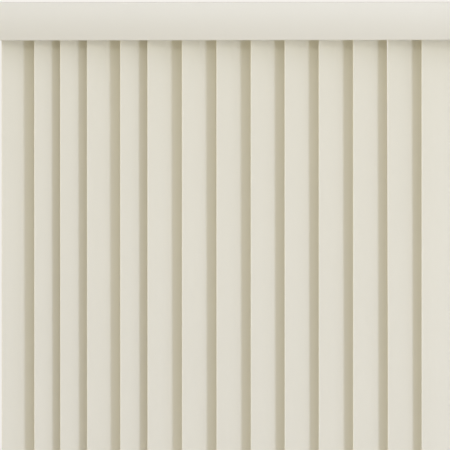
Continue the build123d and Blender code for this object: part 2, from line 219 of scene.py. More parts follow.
front_edge_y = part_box(vane_names[0])[0].y
camera_data = bpy.data.cameras.new("camera")
camera_data.sensor_width = SENSOR * 1000
camera_data.lens = camera_data.sensor_width * CAMERA_DISTANCE / PICTURE_WIDTH
camera = bpy.data.objects.new("camera", camera_data)
camera.location = (CAMERA_X, front_edge_y - CAMERA_DISTANCE, CAMERA_Z)
camera.rotation_euler = (math.radians(90), math.radians(CAMERA_ROLL), 0)
bpy.context.scene.collection.objects.link(camera)
bpy.context.scene.camera = camera
print("lens", round(camera_data.lens, 1), "mm")

# %% [markdown]
# ## Light
# The photograph has two soft sources. A low one to the right of the viewer throws the firm edge of shadow down
# every vane, and a weaker one straight in front and higher throws the short shadow under the valance, which also
# crosses the shaded strips. The rest is an even fill from the room, warm and strong near the floor, cooler from
# above and weak from behind. The panels stand at a real distance, so the right side gets a little more light.

# %% Lamps and world
PANEL_DISTANCE = 5.5
PANEL_WIDTH = 0.95
FRONT_PANEL = {"azimuth": 0, "elevation": 15.7, "height": 0.2, "power": 21.5, "colour": (0.95, 0.99, 1.0)}
SIDE_PANEL = {"azimuth": 41, "elevation": -9, "height": 1.3, "power": 63, "colour": (0.71, 0.78, 1.0)}
FILL_LOW = (2.0, 1.93, 1.2)
FILL_HIGH = (0.655, 0.670, 0.765)
FILL_BEHIND = (0.61, 0.595, 0.515)
FILL_TURN = 0.5
FILL_BLEND = 0.25
BACKDROP = (0.90, 0.87, 0.83)


def panel(name, azimuth, elevation, height, power, colour):
    """A soft panel that faces the blind. Azimuth 0 is straight in front of it, and 90 is on its right."""
    data = bpy.data.lights.new(name, "AREA")
    data.shape = "RECTANGLE"
    data.size, data.size_y = PANEL_WIDTH, height
    data.energy = power
    data.color = colour
    light = bpy.data.objects.new(name, data)
    a, e = math.radians(azimuth), math.radians(elevation)
    towards = Vector((math.sin(a) * math.cos(e), -math.cos(a) * math.cos(e), math.sin(e)))
    light.location = Vector((0, front_edge_y, 0)) + towards * PANEL_DISTANCE
    light.rotation_mode = "QUATERNION"
    light.rotation_quaternion = towards.to_track_quat("Z", "Y")
    light.visible_camera = False
    bpy.context.scene.collection.objects.link(light)


def studio_world():
    """Fill by direction, and a pale backdrop wherever the camera sees past the blind."""
    world = bpy.data.worlds.new("studio")
    bpy.context.scene.world = world
    world.use_nodes = True
    tree = world.node_tree
    tree.nodes.clear()
    way = add(tree, "SeparateXYZ", {0: add(tree, "TexCoord").outputs["Generated"]}).outputs
    high = add(tree, "MapRange", {"Value": way["Z"], "From Min": -FILL_BLEND, "From Max": FILL_BLEND})
    front = add(tree, "Mix", {"Factor": high.outputs[0]}, data_type="RGBA")
    front.inputs[6].default_value = (*FILL_LOW, 1)
    front.inputs[7].default_value = (*FILL_HIGH, 1)
    back = add(tree, "MapRange", {"Value": way["Y"], "From Min": -FILL_TURN, "From Max": FILL_TURN})
    level = add(tree, "Mix", {"Factor": back.outputs[0]}, data_type="RGBA")
    tree.links.new(front.outputs[2], level.inputs[6])
    level.inputs[7].default_value = (*FILL_BEHIND, 1)
    fill = add(tree, "Background", {"Color": level.outputs[2]})
    backdrop = add(tree, "Background", {"Color": (*BACKDROP, 1)})
    path = add(tree, "LightPath").outputs
    seen = add(tree, "Math", {0: path["Is Camera Ray"], 1: path["Is Transmission Ray"]}, operation="MAXIMUM")
    mix = add(tree, "MixShader", {0: seen.outputs[0], 1: fill.outputs[0], 2: backdrop.outputs[0]})
    tree.links.new(mix.outputs[0], add(tree, "OutputWorld").inputs["Surface"])


panel("front_panel", **FRONT_PANEL)
panel("side_panel", **SIDE_PANEL)
studio_world()
bpy.context.scene.view_settings.view_transform = "Standard"

# %% [markdown]
# ## The floor
# A plain pale floor lies a little below the vanes' feet and takes the blind's shadow. What the camera sees of it
# fades into the backdrop's colour with the distance from the blind, as a studio's curved paper does, so that the
# floor's far edge doesn't show as a line.

# %% Lay the floor
FLOOR_Z = cad_low.z - 0.06
FLOOR_SIZE = 30
FLOOR_COLOUR = (0.86, 0.835, 0.80)
FLOOR_LIFT = 0.12
FADE_START = 0.9
FADE_END = 3.2


def floor_material():
    material = bpy.data.materials.new("floor")
    material.use_nodes = True
    tree = material.node_tree
    shader = tree.nodes["Principled BSDF"]
    shader.inputs["Base Color"].default_value = (*FLOOR_COLOUR, 1)
    shader.inputs["Roughness"].default_value = 0.9
    glow = add(tree, "Emission", {"Color": (*FLOOR_COLOUR, 1), "Strength": FLOOR_LIFT})
    lifted = add(tree, "AddShader", {0: shader.outputs[0], 1: glow.outputs[0]})
    place = add(tree, "TexCoord").outputs["Object"]
    level = add(tree, "VectorMath", {0: place, 1: (1, 1, 0)}, operation="MULTIPLY").outputs[0]
    away = add(tree, "VectorMath", {0: level}, operation="LENGTH").outputs["Value"]
    fade = add(tree, "MapRange", {"Value": away, "From Min": FADE_START, "From Max": FADE_END},
               interpolation_type="SMOOTHSTEP")
    paper = add(tree, "Emission", {"Color": (*BACKDROP, 1)})
    faded = add(tree, "MixShader", {0: fade.outputs[0], 1: lifted.outputs[0], 2: paper.outputs[0]})
    seen = add(tree, "LightPath").outputs["Is Camera Ray"]
    mix = add(tree, "MixShader", {0: seen, 1: shader.outputs[0], 2: faded.outputs[0]})
    tree.links.new(mix.outputs[0], tree.nodes["Material Output"].inputs["Surface"])
    return material


bpy.ops.object.select_all(action="DESELECT")
bpy.ops.mesh.primitive_plane_add(size=FLOOR_SIZE, location=(0, 0, FLOOR_Z))
floor = bpy.context.active_object
floor.name = "floor"
settle(floor)
floor.data.materials.append(floor_material())

# %% [markdown]
# ## Effects that the finishes share
# Real plastic and metal are never one flat colour. Drift is a slow, faint change of shade, as in any moulded or
# drawn piece. Lines are the fine marks that a die leaves along a drawn piece: noise that is stretched along the
# drawing. Grain is the tiny pebble of a mould. Each is a group, so that every finish can set its own values.

# %% Shared effects
def make_drift():
    tree, given, result = effect("drift", {"Vector": None, "Color": None, "Scale": 4.0, "Amount": 0.02}, "Color")
    noise = add(tree, "TexNoise", {"Vector": given["Vector"], "Scale": given["Scale"], "Detail": 3.0})
    centred = add(tree, "Math", {0: noise.outputs["Fac"], 1: 0.5}, operation="SUBTRACT")
    swing = add(tree, "Math", {0: centred.outputs[0], 1: given["Amount"]}, operation="MULTIPLY")
    factor = add(tree, "Math", {0: swing.outputs[0], 1: 4.0, 2: 1.0}, operation="MULTIPLY_ADD")
    shaded = add(tree, "VectorMath", {0: given["Color"], "Scale": factor.outputs[0]}, operation="SCALE")
    tree.links.new(shaded.outputs[0], result)
    return tree


def make_lines():
    tree, given, result = effect("lines", {"Vector": None, "Scale": 300.0}, "Height")
    fine = add(tree, "TexNoise", {"Vector": given["Vector"], "Scale": given["Scale"], "Detail": 2.0})
    tree.links.new(fine.outputs["Fac"], result)
    return tree


def make_grain():
    tree, given, result = effect("grain", {"Vector": None, "Scale": 900.0}, "Height")
    fine = add(tree, "TexNoise", {"Vector": given["Vector"], "Scale": given["Scale"], "Detail": 1.0})
    half = add(tree, "Math", {0: given["Scale"], 1: 0.35}, operation="MULTIPLY")
    cells = add(tree, "TexVoronoi", {"Vector": given["Vector"], "Scale": half.outputs[0]})
    both = add(tree, "Math", {0: cells.outputs["Distance"], 1: 0.6, 2: fine.outputs["Fac"]},
               operation="MULTIPLY_ADD")
    tree.links.new(both.outputs[0], result)
    return tree


drift, lines, grain = make_drift(), make_lines(), make_grain()

# %% [markdown]
# ## The finishes
# One function makes a material from its colour, its gloss, the way it was drawn and how deep its marks are. The
# Bevel node rounds the light on the sharp edges of the small solids, as a real moulding's edges catch it. A
# stretch of 1 leaves the marks even, and a small number draws them out along that axis.

# %% Make the materials
LINE_STRETCH = 0.004


def finish(name, colour, roughness, drawn=None, depth=0.02, grain_scale=900.0, drift_amount=0.02, drift_scale=6.0,
           metallic=0.0, edge=0.0004, **shader_values):
    """A procedural material on Object coordinates."""
    material = bpy.data.materials.new(name)
    material.use_nodes = True
    tree = material.node_tree
    shader = tree.nodes["Principled BSDF"]
    place = add(tree, "TexCoord").outputs["Object"]
    colour_now = use(tree, drift, {"Vector": place, "Color": (*colour, 1), "Scale": drift_scale,
                                   "Amount": drift_amount})
    tree.links.new(colour_now, shader.inputs["Base Color"])
    if drawn:
        stretched = add(tree, "Mapping", {"Vector": place, "Scale": drawn}).outputs[0]
        height = use(tree, lines, {"Vector": stretched, "Scale": grain_scale})
    else:
        height = use(tree, grain, {"Vector": place, "Scale": grain_scale})
    bump = add(tree, "Bump", {"Height": height, "Strength": depth, "Distance": 0.0005})
    if edge:
        tree.links.new(add(tree, "Bevel", {"Radius": edge}, samples=4).outputs[0], bump.inputs["Normal"])
    tree.links.new(bump.outputs[0], shader.inputs["Normal"])
    rough = add(tree, "MapRange", {"Value": height, "To Min": roughness - 0.06, "To Max": roughness + 0.06})
    tree.links.new(rough.outputs[0], shader.inputs["Roughness"])
    shader.inputs["Metallic"].default_value = metallic
    for key, value in shader_values.items():
        shader.inputs[key.replace("_", " ")].default_value = value
    return material


along_x = (LINE_STRETCH, 1, 1)
along_y = (1, LINE_STRETCH, 1)
along_z = (1, 1, LINE_STRETCH)
level_lines = (LINE_STRETCH, LINE_STRETCH, 1)

VANE_CREAM = (0.802, 0.756, 0.624)
VALANCE_CREAM = (0.838, 0.800, 0.704)
finishes = {
    "vane_pvc": finish("vane_pvc", VANE_CREAM, 0.45, along_z, 0.02, 260.0, 0.008, 3.0, edge=0),
    "valance_pvc": finish("valance_pvc", VALANCE_CREAM, 0.40, level_lines, 0.02, 300.0, 0.008, 3.0, edge=0),
    "rail_metal": finish("rail_metal", (0.80, 0.79, 0.75), 0.38, along_x, 0.06, 400.0),
    "rod_metal": finish("rod_metal", (0.72, 0.73, 0.74), 0.30, along_x, 0.15, 700.0, metallic=1.0),
    "bracket_steel": finish("bracket_steel", (0.78, 0.78, 0.76), 0.42, None, 0.10, 700.0),
    "clip_steel": finish("clip_steel", (0.62, 0.62, 0.63), 0.34, along_y, 0.12, 900.0, metallic=1.0),
    "bolt_steel": finish("bolt_steel", (0.66, 0.66, 0.66), 0.30, None, 0.08, 1500.0, 0.05, 60.0, metallic=1.0),
    "hanger_plastic": finish("hanger_plastic", (0.80, 0.79, 0.74), 0.36, None, 0.05, 1200.0, Subsurface_Weight=0.15,
                             Subsurface_Radius=(0.002, 0.0018, 0.0015)),
    "carrier_plastic": finish("carrier_plastic", (0.74, 0.74, 0.72), 0.38, None, 0.05, 1200.0),
    "cap_plastic": finish("cap_plastic", (0.76, 0.73, 0.66), 0.40, None, 0.08, 900.0),
    "clear_plastic": finish("clear_plastic", (0.80, 0.82, 0.82), 0.12, None, 0.02, 300.0, Transmission_Weight=0.85,
                            IOR=1.58),
    "wand_plastic": finish("wand_plastic", (0.82, 0.80, 0.74), 0.22, along_z, 0.03, 300.0, Coat_Weight=0.4,
                           Coat_Roughness=0.08),
}
for name, node in frame["nodes"].items():
    node.data.materials.clear()
    node.data.materials.append(finishes[slot_of[name]])
print(len(finishes), "finishes on", len(slot_of), "solids")

# %% [markdown]
# ## A vane
# A real vane is a strip of PVC, drawn through a die that gives it a slight crown, cut to length, punched for the
# hanger and rounded at its feet. It could be a bent box, but the crown would then show facets. So a flat plane is
# cut into narrow columns and a few rows, its foot corners are rounded while it is flat, a bend gives it the crown,
# and it gets its thickness last. The punched slot is cut through with a rounded bar.

# %% Model one vane, flat
VANE_WIDTH = 89 * MM
VANE_THICKNESS = 0.8 * MM
VANE_CROWN = 1.8 * MM
VANE_TILT = math.radians(24)
VANE_COLUMNS = 24
VANE_ROWS = 12
VANE_TWIST = math.radians(2.8)
TWISTED_SHARE = 0.68
FOOT_RADIUS = 3 * MM
HOLE_WIDTH = 10 * MM
HOLE_HEIGHT = 5 * MM
HOLE_DROP = 12 * MM

vane_low, vane_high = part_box(vane_names[0])
vane_top, vane_foot = vane_high.z, vane_low.z
half_chord = VANE_WIDTH / 2
crown_radius = (half_chord ** 2 + VANE_CROWN ** 2) / (2 * VANE_CROWN)
crown_turn = 2 * math.asin(half_chord / crown_radius)
flat_width = crown_radius * crown_turn
upright = (math.radians(90), 0, 0)

bpy.ops.object.select_all(action="DESELECT")
bpy.ops.mesh.primitive_plane_add(size=1, location=(0, 0, (vane_top + vane_foot) / 2), rotation=upright)
vane = bpy.context.active_object
vane.scale = (flat_width, vane_top - vane_foot, 1)
settle(vane)
edit(vane)
pick(vane, "edges", lambda e: abs(e.verts[0].co.z - e.verts[1].co.z) < MM)
bpy.ops.mesh.subdivide(number_cuts=VANE_COLUMNS - 1)
pick(vane, "edges", lambda e: abs(e.verts[0].co.x - e.verts[1].co.x) < MM / 10)
bpy.ops.mesh.subdivide(number_cuts=VANE_ROWS - 1)
corners = pick(vane, "verts", lambda v: v.co.z < vane_foot + MM and abs(v.co.x) > flat_width / 2 - MM)
bpy.ops.mesh.bevel(offset=FOOT_RADIUS, segments=5, affect="VERTICES")
done()
print("flat strip", round(flat_width / MM, 2), "mm wide,", corners, "corners rounded")

# %% [markdown]
# A vane hangs from one point, so it takes a slight twist down its length. In the photograph the strips of shadow
# get narrower downwards for that reason. The twist stays small enough to clear the next vane of a stack, so all
# of it goes into the upper two thirds, and the whole vane is turned back by half of it.

# %% Crown it, thicken it, punch it and twist it
modifier(vane, "SIMPLE_DEFORM", deform_method="BEND", deform_axis="Z", angle=-crown_turn)
modifier(vane, "SOLIDIFY", thickness=VANE_THICKNESS, offset=0)

bpy.ops.object.select_all(action="DESELECT")
bpy.ops.mesh.primitive_cylinder_add(vertices=24, radius=HOLE_HEIGHT / 2, depth=10 * MM,
                                    location=(0, 0, vane_top - HOLE_DROP), rotation=upright)
punch = bpy.context.active_object
settle(punch)
edit(punch)
for side in (-1, 1):
    pick(punch, "verts", lambda v: v.co.x * side > 0.01 * MM)
    bpy.ops.transform.translate(value=(side * (HOLE_WIDTH - HOLE_HEIGHT) / 2, 0, 0))
done()
modifier(vane, "BOOLEAN", operation="DIFFERENCE", object=punch, solver="EXACT")
bpy.data.objects.remove(punch)
modifier(vane, "BEVEL", width=0.2 * MM, segments=2, limit_method="ANGLE", angle_limit=math.radians(40))
modifier(vane, "SIMPLE_DEFORM", deform_method="TWIST", deform_axis="Z", angle=VANE_TWIST,
         limits=(1 - TWISTED_SHARE, 1))
vane.data.transform(Matrix.Rotation(VANE_TWIST / 2, 4, "Z"))
smooth(vane, 40)
print("vane", len(vane.data.polygons), "faces, box", [round(v / MM, 1) for v in vane.dimensions])
foot_line = [v.co for v in vane.data.vertices if v.co.z < vane_foot + MM]
foot_left, foot_right = min(foot_line, key=lambda c: c.x), max(foot_line, key=lambda c: c.x)
foot_turn = math.degrees(math.atan2(foot_right.y - foot_left.y, foot_right.x - foot_left.x))
print("the foot is turned by", round(foot_turn, 2), "degrees")

# %% [markdown]
# A painted highlight lightens the colour along both long edges of a vane, where its front edge catches the light.
# The
# material needs to know how far across the vane a point is, wherever the vane stands, so that goes into a UV map:
# U runs across and V runs up. Then fourteen copies are turned and placed at their hangers' axes.

# %% Map the vane and paint a highlight on its edges
across = vane.data.uv_layers.new(name="across")
for loop in vane.data.loops:
    place = vane.data.vertices[loop.vertex_index].co
    across.data[loop.index].uv = (place.x / VANE_WIDTH + 0.5, place.z - vane_foot)

# Painted highlight: the band along each long edge of a vane, and how much it lightens the colour.
HIGHLIGHT_BAND = 0.028
EDGE_HIGHLIGHT = (1.055, 1.045, 1.01)


def paint_edge_highlight(material):
    """Multiplies the colour near U = 0 and U = 1: a painted highlight along both long edges."""
    tree = material.node_tree
    shader = tree.nodes["Principled BSDF"]
    before = shader.inputs["Base Color"].links[0].from_socket
    u = add(tree, "SeparateXYZ", {0: add(tree, "UVMap", uv_map="across").outputs[0]}).outputs["X"]
    centred = add(tree, "Math", {0: u, 1: 0.5}, operation="SUBTRACT").outputs[0]
    out = add(tree, "Math", {0: centred}, operation="ABSOLUTE").outputs[0]
    highlight_mask = add(tree, "MapRange", {"Value": out, "From Min": 0.5 - HIGHLIGHT_BAND, "From Max": 0.5 - HIGHLIGHT_BAND / 2})
    lifted = add(tree, "VectorMath", {0: before, 1: EDGE_HIGHLIGHT}, operation="MULTIPLY").outputs[0]
    mix = add(tree, "Mix", {0: highlight_mask.outputs[0]}, data_type="VECTOR")
    tree.links.new(before, mix.inputs[4])
    tree.links.new(lifted, mix.inputs[5])
    tree.links.new(mix.outputs[1], shader.inputs["Base Color"])


# Paints the highlight into the vane's colour.
paint_edge_highlight(finishes["vane_pvc"])

# %% Hang fourteen vanes
for name in vane_names:
    pivot = Vector(joints[name.replace("vane", "tilt")]["pos_m"])
    stand = Matrix.Translation((pivot.x, pivot.y, 0)) @ Matrix.Rotation(VANE_TILT, 4, "Z")
    twin = copy_of(vane, name, stand)
    dress(twin, name)
bpy.data.objects.remove(vane)
print("hung", len(vane_names), "vanes")

# %% [markdown]
# ## The valance
# The valance is one extruded moulding, cut to lengths and mitred at the corners: a gently bulging face with a lip
# along its top and bottom, each with a short hem turned in. A box would miss the bulge, which gives the face part
# of its change of shade from top to bottom; the rest is painted shade in its colour. So a strip of sheet is cut
# into rows, bent, and its two edges are extruded back and then in. The sheet gets its thickness only after it has
# been cut.

# %% A strip of the moulding, along X
VALANCE_BULGE = 2.5 * MM
VALANCE_WALL = 1.2 * MM
VALANCE_LIP = 6.5 * MM
VALANCE_HEM = 2.5 * MM
VALANCE_ROWS = 16
VALANCE_ROUND = 1.8 * MM
CORNER_COVER = 25 * MM
CORNER_GROW = 1.7 * MM
CORNER_WALL = 1.5 * MM
MITRE_GAP = 0.05 * MM
MITRE_SPARE = 12 * MM

front_low, front_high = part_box("valance_front")
return_low, return_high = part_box("valance_return_right")
face_y = front_low.y + VALANCE_BULGE
side_x = return_high.x - VALANCE_BULGE
wall_end = return_high.y


def moulding(length, grow, hem, name):
    """A bulging sheet with lips, centred on X, its outer edge line at y = -grow and its middle at z = 0."""
    height = front_high.z - front_low.z + 2 * grow
    radius = ((height / 2) ** 2 + VALANCE_BULGE ** 2) / (2 * VALANCE_BULGE)
    turn = 2 * math.asin(height / 2 / radius)
    bpy.ops.object.select_all(action="DESELECT")
    bpy.ops.mesh.primitive_plane_add(size=1, rotation=upright)
    strip = bpy.context.active_object
    strip.name = name
    strip.scale = (length, radius * turn, 1)
    settle(strip)
    edit(strip)
    pick(strip, "edges", lambda e: abs(e.verts[0].co.x - e.verts[1].co.x) < MM)
    bpy.ops.mesh.subdivide(number_cuts=VALANCE_ROWS - 1)
    done()
    modifier(strip, "SIMPLE_DEFORM", deform_method="BEND", deform_axis="X", angle=turn)
    strip.data.transform(Matrix.Translation((0, -grow - VALANCE_BULGE, 0)))
    edit(strip)
    for end in (-1, 1):
        pick(strip, "edges", lambda e: all(v.co.z * end > height / 2 - MM / 10 for v in e.verts))
        bpy.ops.mesh.extrude_edges_move(TRANSFORM_OT_translate={"value": (0, VALANCE_LIP + grow, 0)})
        if hem:
            bpy.ops.mesh.extrude_edges_move(TRANSFORM_OT_translate={"value": (0, 0, -end * VALANCE_HEM)})
    pick(strip, "edges", lambda e: all(abs(abs(v.co.z) - height / 2) < MM / 10 and v.co.y < MM - grow
                                       for v in e.verts) and abs(e.verts[0].co.x - e.verts[1].co.x) > MM)
    bpy.ops.mesh.bevel(offset=VALANCE_ROUND, segments=4)
    bpy.ops.mesh.select_all(action="SELECT")
    bpy.ops.mesh.normals_make_consistent(inside=False)
    done()
    return strip


def cut(piece, point, normal):
    """Cuts away what lies on the normal's side of a plane, and leaves the cut open."""
    edit(piece)
    bpy.ops.mesh.select_all(action="SELECT")
    bpy.ops.mesh.bisect(plane_co=point, plane_no=normal, clear_outer=True, clear_inner=False, use_fill=False)
    done()


def outward(piece, towards):
    """Turns the sheet's faces over if the one that faces furthest to one side looks the wrong way."""
    best = max(piece.data.polygons, key=lambda f: abs(f.normal.dot(towards)) * f.area)
    if best.normal.dot(towards) < 0:
        piece.data.flip_normals()


def thicken(piece, wall, towards):
    """Gives the sheet its wall, on its inside."""
    outward(piece, towards)
    modifier(piece, "SOLIDIFY", thickness=wall, offset=-1, use_even_offset=True)
    modifier(piece, "BEVEL", width=0.15 * MM, segments=1, limit_method="ANGLE", angle_limit=math.radians(50))
    smooth(piece, 35)


valance_mid_z = (front_high.z + front_low.z) / 2
room = Vector((0, -1, 0))
print("valance face at y", round(face_y, 4), "sides at x", round(side_x, 4), "middle at z", round(valance_mid_z, 4))

# %% [markdown]
# The moulding's colour is painted a shade darker towards its lower edge: painted shade for the light that falls
# from above on its bulge. A slow mask down its height does this, from the height of its two edges.

# %% Paint shade into the moulding's colour downwards
# Painted shade: how much darker the colour is at the moulding's lower edge.
PAINTED_LOW_SHADE = (0.912, 0.902, 0.880)


def paint_shade_down(material, top, bottom):
    """Multiplies the colour more and more from the top to the bottom: painted shade."""
    tree = material.node_tree
    shader = tree.nodes["Principled BSDF"]
    before = shader.inputs["Base Color"].links[0].from_socket
    height = add(tree, "SeparateXYZ", {0: add(tree, "TexCoord").outputs["Object"]}).outputs["Z"]
    down = add(tree, "MapRange", {"Value": height, "From Min": top, "From Max": bottom}, interpolation_type="SMOOTHSTEP")
    shade_painted = add(tree, "VectorMath", {0: before, 1: PAINTED_LOW_SHADE}, operation="MULTIPLY").outputs[0]
    mix = add(tree, "Mix", {0: down.outputs[0]}, data_type="VECTOR")
    tree.links.new(before, mix.inputs[4])
    tree.links.new(shade_painted, mix.inputs[5])
    tree.links.new(mix.outputs[1], shader.inputs["Base Color"])


# Paints the shade into the valance's colour.
paint_shade_down(finishes["valance_pvc"], front_high.z, front_low.z)

# %% The front and the two returns
front = moulding(2 * (side_x + MITRE_SPARE), 0, True, "front")
front.data.transform(Matrix.Translation((0, face_y, valance_mid_z)))
for side in (-1, 1):
    cut(front, (side * (side_x - MITRE_GAP), face_y, 0), (side, 1, 0))
thicken(front, VALANCE_WALL, room)
dress(front, "valance_front")

return_length = wall_end - face_y + MITRE_SPARE
for side, word in ((-1, "left"), (1, "right")):
    turned = Matrix.Rotation(side * math.radians(90), 4, "Z")
    middle_y = wall_end - return_length / 2
    piece = moulding(return_length, 0, True, "return_" + word)
    piece.data.transform(Matrix.Translation((side * side_x, middle_y, valance_mid_z)) @ turned)
    cut(piece, (side * (side_x + MITRE_GAP), face_y, 0), (-side, -1, 0))
    thicken(piece, VALANCE_WALL, Vector((side, 0, 0)))
    dress(piece, "valance_return_" + word)
print("front and returns", len(front.data.polygons), "faces on the front")

# %% [markdown]
# A moulded cover hides each mitre. It is the same section, a little larger, that turns the corner. Two short
# strips are cut on the mitre and joined, their cut edges are merged, and only then does the sheet get its wall,
# so the corner is one skin.

# %% The corner covers
def corner_cover(side, word):
    """One cover over a mitre."""
    reach = CORNER_COVER + MITRE_SPARE
    along = moulding(reach, CORNER_GROW, False, "along")
    along.data.transform(Matrix.Translation((side * (side_x - CORNER_COVER + reach / 2), face_y, valance_mid_z)))
    cut(along, (side * side_x, face_y, 0), (side, 1, 0))
    back = moulding(reach, CORNER_GROW, False, "back")
    turned = Matrix.Rotation(side * math.radians(90), 4, "Z")
    centre = Vector((side * side_x, face_y + CORNER_COVER - reach / 2, valance_mid_z))
    back.data.transform(Matrix.Translation(centre) @ turned)
    cut(back, (side * side_x, face_y, 0), (-side, -1, 0))
    only(along, back)
    bpy.ops.object.join()
    edit(along)
    bpy.ops.mesh.select_all(action="SELECT")
    bpy.ops.mesh.remove_doubles(threshold=0.02 * MM)
    pick(along, "edges", lambda e: all(abs(side * (v.co.x - side * side_x) + v.co.y - face_y) < 0.02 * MM
                                       and v.co.y < face_y - MM for v in e.verts))
    bpy.ops.mesh.bevel(offset=1.5 * MM, segments=4)
    bpy.ops.mesh.select_all(action="SELECT")
    bpy.ops.mesh.normals_make_consistent(inside=False)
    done()
    thicken(along, CORNER_WALL, room)
    return dress(along, "valance_corner_" + word)


for side, word in ((-1, "left"), (1, "right")):
    cover = corner_cover(side, word)
    print(cover.name, len(cover.data.polygons), "faces", [round(v / MM, 1) for v in cover.dimensions])

# %% [markdown]
# ## The wand
# The real wand is a moulded six-sided rod with soft edges, thinner where it goes up into its hook, with a thicker
# grip at its foot. It could be a cylinder of six sides, but not with a grip and a shoulder. So a hexagon is
# extruded upwards step by step, and each step sets how wide the rod is there. Shallow grooves keep the fingers
# from slipping on the grip.

# %% Extrude the wand
WAND_FLATS = 8 * MM
NECK_FLATS = 6.8 * MM
NECK_LENGTH = 13.9 * MM
GRIP_FLATS = 12 * MM
GRIP_LENGTH = 90 * MM
TIP_LENGTH = 5 * MM
GROOVES = 7
GROOVE_START = 14 * MM
GROOVE_STEP = 8 * MM
GROOVE_SLOPE = 1.2 * MM
GROOVE_DEPTH = 0.5 * MM
WAND_ROUND = 0.9 * MM

wand_low, wand_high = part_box("wand")
wand_axis = Vector(joints["wand_swing"]["pos_m"])
grip_foot = wand_low.z + TIP_LENGTH
grip_top = grip_foot + GRIP_LENGTH
shoulder = wand_high.z - NECK_LENGTH


def grip_flats(z):
    """How wide the grip is at a height."""
    return GRIP_FLATS + (WAND_FLATS - GRIP_FLATS) * (z - grip_foot) / GRIP_LENGTH


stations = [(grip_foot, GRIP_FLATS)]
for i in range(GROOVES):
    z = grip_foot + GROOVE_START + i * GROOVE_STEP
    bottom = grip_flats(z) - 2 * GROOVE_DEPTH
    stations += [(z, grip_flats(z)), (z + GROOVE_SLOPE, bottom), (z + 2 * GROOVE_SLOPE, bottom)]
    stations.append((z + 3 * GROOVE_SLOPE, grip_flats(z + 3 * GROOVE_SLOPE)))
stations += [(grip_top, WAND_FLATS), (shoulder, WAND_FLATS), (shoulder, NECK_FLATS), (wand_high.z, NECK_FLATS)]

bpy.ops.object.select_all(action="DESELECT")
bpy.ops.mesh.primitive_circle_add(vertices=6, radius=WAND_FLATS / 2 / math.cos(math.radians(30)), fill_type="NGON",
                                  location=(wand_axis.x, wand_axis.y, wand_low.z),
                                  rotation=(0, 0, math.radians(30)))
wand = bpy.context.active_object
settle(wand)
only(wand)
bpy.ops.object.mode_set(mode="EDIT")
bpy.ops.mesh.select_mode(type="FACE")
bpy.ops.mesh.select_all(action="SELECT")
at_z, at_flats = wand_low.z, WAND_FLATS
for z, flats in stations:
    bpy.ops.mesh.extrude_region_move(TRANSFORM_OT_translate={"value": (0, 0, z - at_z)})
    wider = flats / at_flats
    bpy.ops.transform.resize(value=(wider, wider, 1), center_override=(wand_axis.x, wand_axis.y, z))
    at_z, at_flats = z, flats
pick(wand, "edges", lambda e: abs(e.verts[0].co.z - e.verts[1].co.z) > 0.5 * MM)
bpy.ops.mesh.bevel(offset=WAND_ROUND, segments=3)
bpy.ops.mesh.select_all(action="SELECT")
bpy.ops.mesh.normals_make_consistent(inside=False)
done()
modifier(wand, "BEVEL", width=0.25 * MM, segments=2, limit_method="ANGLE", angle_limit=math.radians(35))
smooth(wand, 35)
dress(wand, "wand")
print("wand", len(wand.data.polygons), "faces, box", [round(v / MM, 1) for v in wand.dimensions])

# %% [markdown]
# ## The small parts
# Moulded plastic and bent steel have no knife edges: each edge has a small radius that catches the light. The
# solids have the right shapes but sharp edges. Each part could be modelled afresh, which would only repeat the
# solids' sizes, so a copy of the solid is taken instead. Its loose triangles are merged and joined to flat faces
# again, the corners that are plainly round get their own radius, and a fine bevel goes over the rest.

# %% Helpers that round a copy of a solid
MERGE = 0.002 * MM
NEAR = 0.05 * MM
ROUND_SEGMENTS = 5


def runs(edge, axis):
    """Whether an edge runs along an axis: 0, 1 or 2 for X, Y or Z."""
    way = edge.verts[1].co - edge.verts[0].co
    return abs(way[axis]) > 0.999 * way.length


def flat_copy(node, place=Matrix()):
    """A copy of a solid, moved by a matrix, whose triangles are joined to flat faces."""
    piece = bpy.data.objects.new("flat_" + node, frame["nodes"][node].data.copy())
    bpy.context.scene.collection.objects.link(piece)
    piece.data.transform(place)
    only(piece)
    bpy.ops.mesh.customdata_custom_splitnormals_clear()
    edit(piece)
    bpy.ops.mesh.select_all(action="SELECT")
    bpy.ops.mesh.remove_doubles(threshold=MERGE)
    bpy.ops.mesh.dissolve_limited(angle_limit=math.radians(0.5))
    done()
    return piece


def round_edges(piece, test, radius):
    """Gives the edges that pass a test a radius of their own."""
    edit(piece)
    count = pick(piece, "edges", test)
    bpy.ops.mesh.bevel(offset=radius, segments=ROUND_SEGMENTS)
    done()
    return count


def soften(piece, width):
    """A fine bevel over every sharp edge, and smooth shading."""
    modifier(piece, "BEVEL", width=width, segments=2, limit_method="ANGLE", angle_limit=math.radians(30))
    smooth(piece, 40)
    return piece


# %% [markdown]
# The steel pieces are bent, so their bends are round on the outside. The rail is drawn through a die and has a
# small radius along every edge. The end caps are moulded, and their outer rim is rounder than the rest.

# %% The rail, its caps, brackets, clips and bolts
rail_low, rail_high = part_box("headrail")
rail_mid_y = (rail_low.y + rail_high.y) / 2
bracket_low, bracket_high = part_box("wall_brackets")
clip_low, clip_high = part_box("headrail_clips")

dress(soften(flat_copy("headrail"), 0.3 * MM), "headrail")

brackets = flat_copy("wall_brackets")
bends = round_edges(brackets, lambda e: runs(e, 0) and middle(e).y > -NEAR and middle(e).z > bracket_high.z - NEAR,
                    2.4 * MM)
dress(soften(brackets, 0.3 * MM), "wall_brackets")

clips = flat_copy("headrail_clips")
bends += round_edges(clips, lambda e: runs(e, 0) and middle(e).z > clip_high.z - NEAR
                     and abs(middle(e).y - rail_mid_y) > (clip_high.y - clip_low.y) / 2 - NEAR, 1.0 * MM)
dress(soften(clips, 0.2 * MM), "headrail_clips")
dress(soften(flat_copy("clip_bolts"), 0.35 * MM), "clip_bolts")
dress(soften(flat_copy("valance_clips"), 0.3 * MM), "valance_clips")

